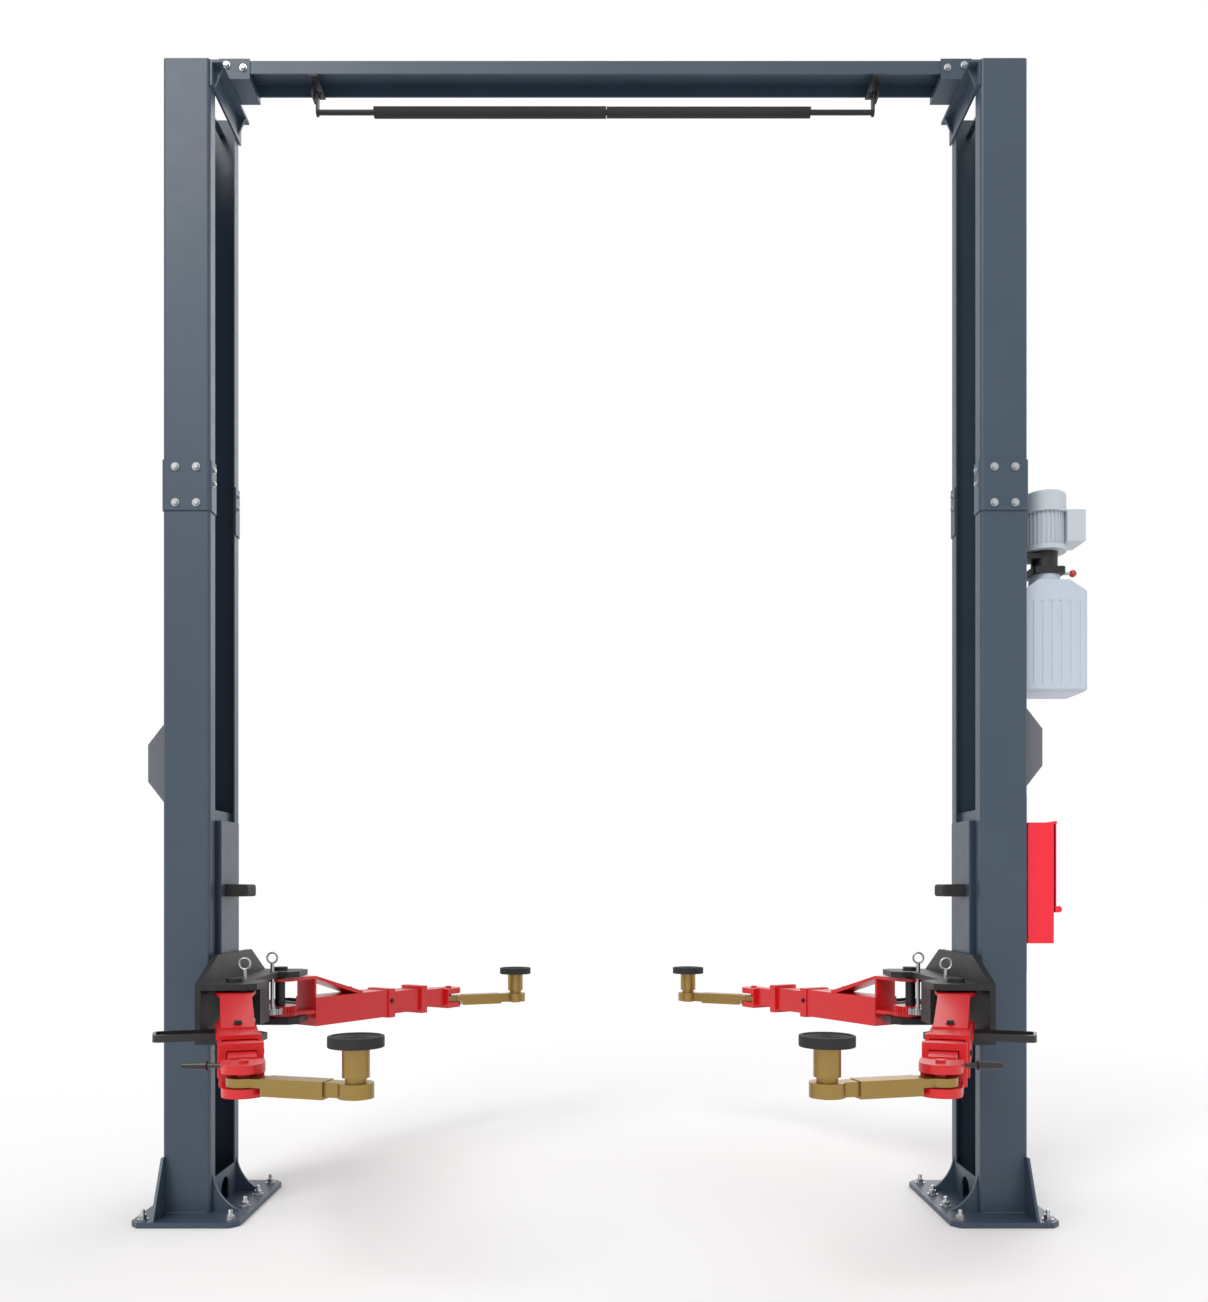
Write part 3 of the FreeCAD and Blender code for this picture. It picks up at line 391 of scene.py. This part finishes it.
@dataclass
class ArmFittings:
    """Small pieces of one arm, placed along the arm from its pin; sizes in metres."""

    name: str
    strap_along: float = 0.380
    strap_z: float = 0.7625
    strap_bolt: Bolt = Bolt(0.012, 0.010)
    collar_along: float = 0.576
    collar_across: float = 0.065
    collar_z: float = 0.700
    collar_screw: Bolt = Bolt(0.008, 0.006)
    pad_r: float = 0.060
    pad_z: float = 0.8055
    tread_height: float = 0.0028
    tread_rings: int = 6
    tread_steps: int = 60
    tread_sides: int = 48

    def joint(self, start: str) -> dict:
        """The joint of this arm whose name starts so."""
        return next(j for j in frame["joints"] if j["name"] == f"{start}_{self.name}")

    def build(self) -> None:
        """Makes the strap bolt, the collar screws and the pad's tread.

        The tread's height at a radius is tread_height times (1 - the cosine of tread_rings turns out to
        pad_r) / 2.
        """
        pin = np.array(self.joint("swing")["pos_m"])
        way = np.array(self.joint("reach_middle")["axis"], float)
        across = np.array([-way[1], way[0], 0.0])
        at = pin + way * self.strap_along
        at[2] = self.strap_z
        add_mesh(f"strap_bolt_{self.name}", self.strap_bolt.parts(tuple(at), (0, 0, 1)),
                 Look.black_paint, f"outer_{self.name}")
        screws = []
        for f in (-1.0, 1.0):
            spot = pin + way * self.collar_along + across * f * self.collar_across
            spot[2] = self.collar_z
            screws += self.collar_screw.parts(tuple(spot), tuple(across * f))
        add_mesh(f"collar_screws_{self.name}", screws, Look.black_paint, f"outer_{self.name}")
        low, high = (np.array(c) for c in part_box(f"lift_pad_{self.name}"))
        centre = (low + high) / 2
        centre[2] = self.pad_z
        r = np.linspace(POLE_R, self.pad_r, self.tread_steps)
        height = self.tread_height * (0.5 - 0.5 * np.cos(r / self.pad_r * self.tread_rings * 2 * math.pi))
        tread = turned(list(zip(r[::-1], height[::-1])), centre, (0, 0, 1), self.tread_sides)
        add_mesh(f"pad_tread_{self.name}", [tread], Look.rubber, f"pad_{self.name}")


@dataclass
class UnitFittings:
    """Release lever and fan grille of the power unit; sizes in metres."""

    x: float = 1.698
    lever_z: float = 2.389
    reach: float = 0.058
    rod_r: float = 0.006
    rod: float = 0.045
    knob_r: float = 0.014
    knob_out: float = 0.050
    fan_z: float = 2.6851
    ring_step: float = 0.012
    ring_half: float = 0.003
    ring_height: float = 0.001
    ring_count: int = 4

    def build(self) -> None:
        """Makes the release rod, its knob and the fan's rings.

        The knob is a ball: its radius is knob_r times the sine, and its place knob_out less knob_r
        times the cosine, of an angle from 0 to half a turn.
        """
        foot = (self.x + self.reach, 0, self.lever_z)
        rod = [(POLE_R, 0), (self.rod_r, 0), (self.rod_r, self.rod), (POLE_R, self.rod)]
        add_mesh("release_rod", [turned(rod, foot, (1, 0, 0), 16)], Look.bare_steel, "root")
        knob = [(max(POLE_R, self.knob_r * math.sin(v)), self.knob_out - self.knob_r * math.cos(v))
                for v in np.linspace(0, math.pi, 16)]
        add_mesh("release_knob", [turned(knob, foot, (1, 0, 0))], Look.red_knob, "root")
        half, rings = self.ring_half, []
        for i in range(1, self.ring_count + 1):
            r = self.ring_step * i
            ridge = [(r, 0), (r + half, self.ring_height), (r + 2 * half, 0)]
            rings.append(turned(ridge, (self.x, 0, self.fan_z), (0, 0, 1), 40))
        add_mesh("fan_rings", rings, Look.black_paint, "root")


GUARD_OUT = 0.0665  # where the foot guard begins, out from the arm's middle line, in metres
GUARD_ALONG = 0.140  # where it begins along the arm from the pin
GRIP_OUT = 0.0605  # where the inner section's grip begins, out from the middle line


def arm_dips(name: str) -> dict[str, Dip]:
    """Where the foot guard and the grip of one arm are black.

    The outer side of an arm is the turn that the link doesn't take, and a limit is measured from the
    frame's origin, so the pin's own reach along each direction is added.

    Args:
        name: one of ARMS.

    Returns:
        The dark coat of each of the arm's two nodes, by the node's name.
    """
    joints = {j["name"]: j for j in frame["joints"]}
    pin = np.array(joints[f"swing_{name}"]["pos_m"])
    along = np.array(joints[f"reach_middle_{name}"]["axis"], float)
    turn = joints[f"link_{name}"]["axis"][2]
    out = np.array([along[1], -along[0], 0.0]) * turn
    reach, start = float(pin @ out), float(pin @ along)
    return {f"arm_outer_{name}": Dip(tuple(out), reach + GUARD_OUT, tuple(along), start + GUARD_ALONG),
            f"arm_inner_{name}": Dip(tuple(out), reach + GRIP_OUT, tuple(along), start)}


REPAINT = {"motor": "light_enamel", "cabinet_rail": "post_paint", "limit_bar": "black_paint",
           "bar_hanger_left": "black_paint", "bar_hanger_right": "black_paint"}


def dress_nodes() -> None:
    """Gives each node of the frame the finish of its slot, or one nearer to the real piece."""
    dips = {node: dip for arm in ARMS for node, dip in arm_dips(arm).items()}
    for part in frame["record"]["subparts"]:
        node = frame["nodes"][part["node"]]
        material = MATERIALS[REPAINT.get(part["node"], part["material_slot"])]
        if part["node"] in dips:
            material = Look[part["material_slot"]].value.make(dips[part["node"]])
        if not node.material_slots:
            node.data.materials.append(material)
        for slot in node.material_slots:
            slot.link = "OBJECT"
            slot.material = material


@dataclass
class Studio:
    """Camera, floor, room and lamps; lengths in metres, the lens in millimetres, turns in degrees."""

    distance: float = 4.286
    height: float = 1.20
    lens: float = 31.33
    shift: tuple[float, float] = (0.0067, 0.182)
    sight: float = 100.0
    floor_half: float = 60.0
    floor_grey: float = 0.93
    floor_rough: float = 0.9
    room_light: float = 0.72
    key_energy: float = 1.3
    key_turn: tuple[float, float, float] = (48.0, 0.0, -28.0)
    key_soft: float = 0.5
    fill_energy: float = 0.5
    fill_turn: tuple[float, float, float] = (60.0, 0.0, 150.0)
    fill_soft: float = 0.8

    def camera(self) -> None:
        """A level camera in front of the bay."""
        data = bpy.data.cameras.new("camera")
        data.lens = self.lens
        data.shift_x, data.shift_y = self.shift
        data.clip_end = self.sight
        eye = bpy.data.objects.new("camera", data)
        eye.location = (0.0, -self.distance, self.height)
        eye.rotation_euler = (math.pi / 2, 0.0, 0.0)
        bpy.context.scene.collection.objects.link(eye)
        bpy.context.scene.camera = eye

    def lamp(self, name: str, energy: float, turn: tuple[float, float, float], soft: float) -> None:
        """A soft sun from one direction.

        Args:
            name: name of the lamp.
            energy: strength of the sun.
            turn: turns about X, Y and Z, in degrees.
            soft: width of the sun in the sky, in radians.
        """
        data = bpy.data.lights.new(name, "SUN")
        data.energy = energy
        data.angle = soft
        sun = bpy.data.objects.new(name, data)
        sun.rotation_euler = [math.radians(v) for v in turn]
        bpy.context.scene.collection.objects.link(sun)

    def floor(self) -> None:
        """A wide pale floor."""
        mesh = bpy.data.meshes.new("floor")
        w, grey = self.floor_half, self.floor_grey
        mesh.from_pydata([(-w, -w, 0), (w, -w, 0), (w, w, 0), (-w, w, 0)], [], [(0, 1, 2, 3)])
        mat = Shader("floor")
        mat.bsdf.inputs["Base Color"].default_value = (grey, grey, grey, 1.0)
        mat.bsdf.inputs["Roughness"].default_value = self.floor_rough
        mesh.materials.append(mat.data)
        plane = bpy.data.objects.new("floor", mesh)
        bpy.context.scene.collection.objects.link(plane)

    def world(self) -> None:
        """A white room for the camera and in reflections, softer as a light."""
        world = bpy.data.worlds.new("room")
        world.use_nodes = True
        tree = world.node_tree
        back = next(n for n in tree.nodes if n.type == "BACKGROUND")
        path = tree.nodes.new("ShaderNodeLightPath")
        seen = tree.nodes.new("ShaderNodeMath")
        seen.operation = "MAXIMUM"
        level = tree.nodes.new("ShaderNodeMapRange")
        level.inputs["To Min"].default_value = self.room_light
        level.inputs["To Max"].default_value = 1.0
        tree.links.new(path.outputs["Is Camera Ray"], seen.inputs[0])
        tree.links.new(path.outputs["Is Glossy Ray"], seen.inputs[1])
        tree.links.new(seen.outputs[0], level.inputs["Value"])
        tree.links.new(level.outputs[0], back.inputs["Strength"])
        back.inputs["Color"].default_value = (1.0, 1.0, 1.0, 1.0)
        bpy.context.scene.world = world

    def build(self) -> None:
        """Sets the whole studio."""
        bpy.context.scene.view_settings.view_transform = "Standard"
        self.camera()
        self.floor()
        self.world()
        self.lamp("key", self.key_energy, self.key_turn, self.key_soft)
        self.lamp("fill", self.fill_energy, self.fill_turn, self.fill_soft)


def main() -> None:
    """Builds every fitting, dresses the nodes and sets the studio."""
    logging.basicConfig(level=logging.INFO)
    Studio().build()
    dress_nodes()
    for side in SIDES:
        PostFittings(side).build()
    for arm in ARMS:
        ArmFittings(arm).build()
    UnitFittings().build()


if __name__ == "__main__":
    main()
